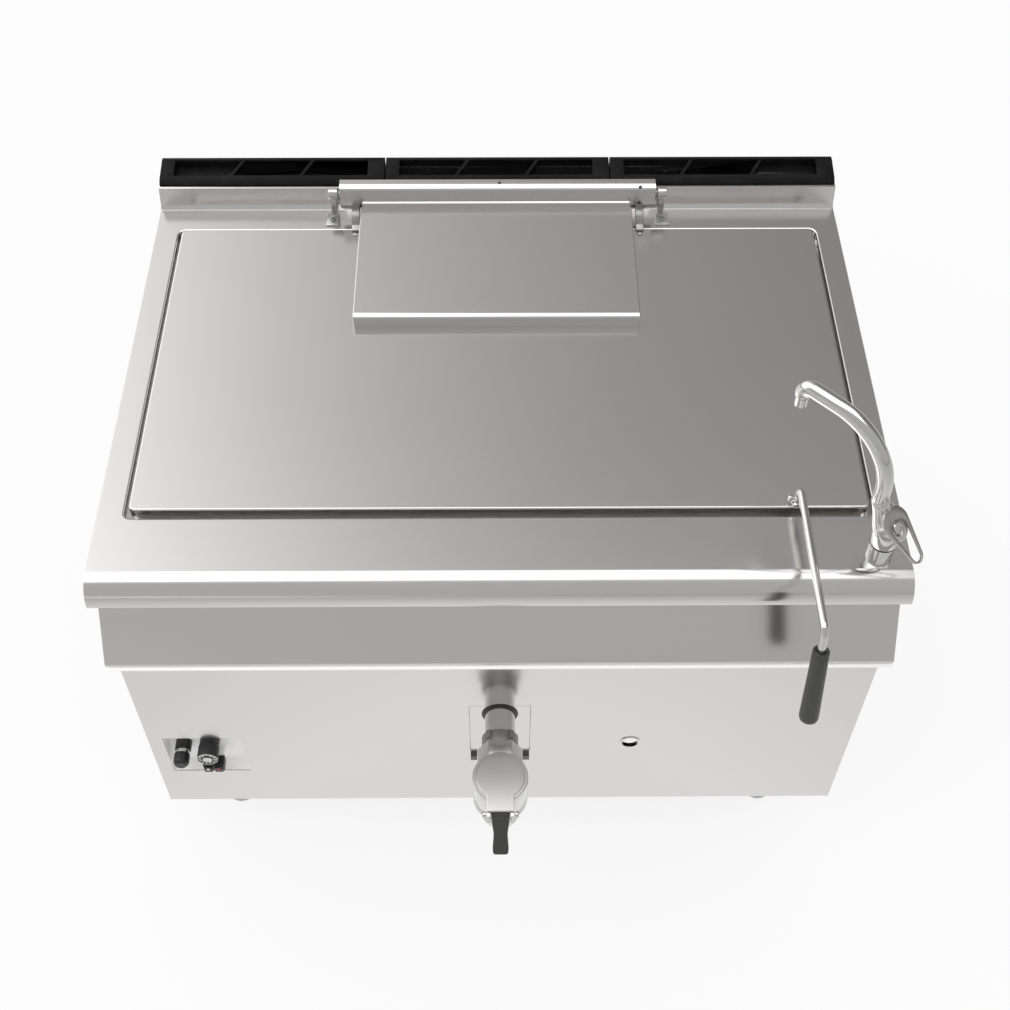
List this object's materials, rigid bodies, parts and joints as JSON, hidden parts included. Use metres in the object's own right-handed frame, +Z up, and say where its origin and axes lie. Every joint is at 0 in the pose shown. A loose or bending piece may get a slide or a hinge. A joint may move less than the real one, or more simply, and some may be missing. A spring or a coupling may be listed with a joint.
{
  "type": "gas boiling pan",
  "caption": "Free-standing gas boiling pan: rectangular well under a hinged lid, swivelling filling tap, lever drain tap and rear flue grille.",
  "frame": {"origin": "on the floor, at the middle of the whole unit's width and depth", "axes": "+X to the right along the front, +Y from the front to the back, +Z up"},
  "size_m": [1.2, 1.118, 1.094],
  "materials": {
    "steel": "brushed",
    "inner_steel": "satin",
    "polished_steel": "polished",
    "plated_steel": "zinc plated",
    "dark_steel": "dull",
    "black_enamel": "matt enamel",
    "wool": "fibrous",
    "valve_alloy": "cast",
    "brass": "machined",
    "grip_plastic": "satin",
    "control_plastic": "satin",
    "mark_white": "printed",
    "mark_red": "printed"
  },
  "bodies": {
    "cabinet": {"worktop": "steel", "control_fascia": "steel", "front_panel": "steel", "slot_cover": "steel", "slot_cover_clips": "dark_steel", "control_recess": "steel", "inspection_ring": "steel", "left_side_panel": "steel", "right_side_panel": "steel", "rear_panel": "steel", "base_rails_long": "plated_steel", "base_rails_side": "plated_steel", "leg_sockets": "plated_steel", "flue_grille_left": "black_enamel", "flue_grille_centre": "black_enamel", "flue_grille_right": "black_enamel", "flue_meshes": "dark_steel", "flue_duct": "plated_steel", "vessel": "inner_steel", "vessel_strainer": "inner_steel", "combustion_chamber": "plated_steel", "insulation_slabs": "wool", "burners": "dark_steel", "gas_manifold": "plated_steel", "gas_valve": "valve_alloy", "pilot_burner": "dark_steel", "gas_inlet_pipe": "plated_steel", "water_inlet_pipe": "plated_steel", "hinge_brackets": "steel", "hinge_shaft": "plated_steel", "hinge_springs": "dark_steel", "bracket_screws": "dark_steel", "igniter_body": "control_plastic", "switch_block": "control_plastic", "drain_pipe": "polished_steel", "drain_ring": "polished_steel", "drain_nut": "polished_steel", "drain_body": "polished_steel", "drain_cap": "polished_steel", "tap_base": "polished_steel"},
    "lid": {"lid_panel": "steel", "lid_liner": "inner_steel", "hinge_arms": "dark_steel", "hinge_cover": "steel", "hinge_housing": "steel", "handle_rod": "polished_steel", "handle_grip": "grip_plastic"},
    "tap_head_assembly": {"tap_head": "polished_steel", "tap_spout": "polished_steel"},
    "tap_lever_body": {"tap_lever": "polished_steel"},
    "drain_lever_body": {"drain_lever": "grip_plastic"},
    "drain_plug_body": {"drain_plug": "brass"},
    "thermostat_knob_body": {"thermostat_knob": "control_plastic"},
    "igniter_button_body": {"igniter_button": "control_plastic"},
    "start_button_body": {"start_button": "control_plastic"},
    "stop_button_body": {"stop_button": "control_plastic"},
    "foot_front_left_body": {"foot_front_left": "plated_steel"},
    "foot_front_right_body": {"foot_front_right": "plated_steel"},
    "foot_rear_left_body": {"foot_rear_left": "plated_steel"},
    "foot_rear_right_body": {"foot_rear_right": "plated_steel"}
  },
  "joints": [
    {"name": "lid_hinge", "type": "hinge", "parent": "cabinet", "child": "lid", "pos_m": [0, 0.46, 0.902], "axis": [-1, 0, 0], "range_deg": [0, 80]},
    {"name": "spout_swivel", "type": "hinge", "parent": "cabinet", "child": "tap_head_assembly", "pos_m": [0.552, -0.292, 0.9], "axis": [0, 0, 1], "range_deg": [-250, 0]},
    {"name": "tap_lever_tilt", "type": "hinge", "parent": "tap_head_assembly", "child": "tap_lever_body", "pos_m": [0.54493, -0.28493, 0.956], "axis": [-0.7071, -0.7071, 0], "range_deg": [0, 25]},
    {"name": "drain_lever_pivot", "type": "hinge", "parent": "cabinet", "child": "drain_lever_body", "pos_m": [0, -0.519, 0.483], "axis": [1, 0, 0], "range_deg": [0, 28]},
    {"name": "drain_plug_lift", "type": "slide", "parent": "cabinet", "child": "drain_plug_body", "axis": [0, 0, 1], "range_m": [0, 0.0266]},
    {"name": "thermostat_turn", "type": "hinge", "parent": "cabinet", "child": "thermostat_knob_body", "pos_m": [-0.5015, -0.341, 0.3345], "axis": [0, 1, 0], "range_deg": [0, 240]},
    {"name": "igniter_press", "type": "slide", "parent": "cabinet", "child": "igniter_button_body", "axis": [0, 1, 0], "range_m": [0, 0.005], "stiffness_N_per_m": 600, "springref_m": -0.002},
    {"name": "start_press", "type": "slide", "parent": "cabinet", "child": "start_button_body", "axis": [0, 1, 0], "range_m": [0, 0.003], "stiffness_N_per_m": 500, "springref_m": -0.002},
    {"name": "stop_press", "type": "slide", "parent": "cabinet", "child": "stop_button_body", "axis": [0, 1, 0], "range_m": [0, 0.003], "stiffness_N_per_m": 500, "springref_m": -0.002},
    {"name": "foot_front_left_screw", "type": "slide", "parent": "cabinet", "child": "foot_front_left_body", "axis": [0, 0, -1], "range_m": [0, 0.04]},
    {"name": "foot_front_right_screw", "type": "slide", "parent": "cabinet", "child": "foot_front_right_body", "axis": [0, 0, -1], "range_m": [0, 0.04]},
    {"name": "foot_rear_left_screw", "type": "slide", "parent": "cabinet", "child": "foot_rear_left_body", "axis": [0, 0, -1], "range_m": [0, 0.04]},
    {"name": "foot_rear_right_screw", "type": "slide", "parent": "cabinet", "child": "foot_rear_right_body", "axis": [0, 0, -1], "range_m": [0, 0.04]}
  ],
  "couplings": [
    {"joint": "spout_swivel", "follows": "lid_hinge", "ratio": -3.1},
    {"joint": "drain_plug_lift", "follows": "drain_lever_pivot", "m_per_rad": 0.0536}
  ]
}
